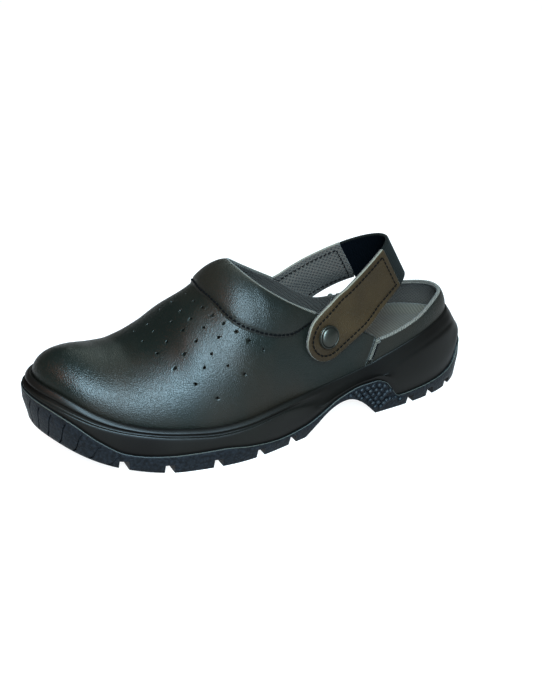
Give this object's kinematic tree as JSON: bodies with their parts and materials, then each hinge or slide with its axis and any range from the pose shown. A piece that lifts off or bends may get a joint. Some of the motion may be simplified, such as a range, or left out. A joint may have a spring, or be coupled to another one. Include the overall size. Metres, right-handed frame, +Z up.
{
  "type": "safety sandal",
  "caption": "Closed-toe slip-on safety sandal for the left foot in black leather, with a padded collar, a low heel band, an elastic heel strap on studs and a cleated two-layer sole.",
  "frame": {"origin": "on the floor under the middle of the whole sandal", "axes": "+X from the heel to the toe, +Y to the little-toe side, +Z up"},
  "size_m": [0.2916, 0.1138, 0.1059],
  "materials": {
    "outsole": "matte",
    "midsole": "satin",
    "insole": "matte",
    "leather": "satin",
    "strap": "satin",
    "elastic": "matte",
    "studs": "satin",
    "gusset": "matte"
  },
  "bodies": {
    "root": {"outsole": "outsole", "midsole": "midsole", "insole": "insole", "upper": "leather", "collar_pad": "leather", "strap_outer_side": "strap", "strap_inner_side": "strap", "strap_elastic": "elastic", "stud_outer_side": "studs", "stud_inner_side": "studs", "gusset_outer_side": "gusset", "gusset_inner_side": "gusset"}
  },
  "joints": []
}
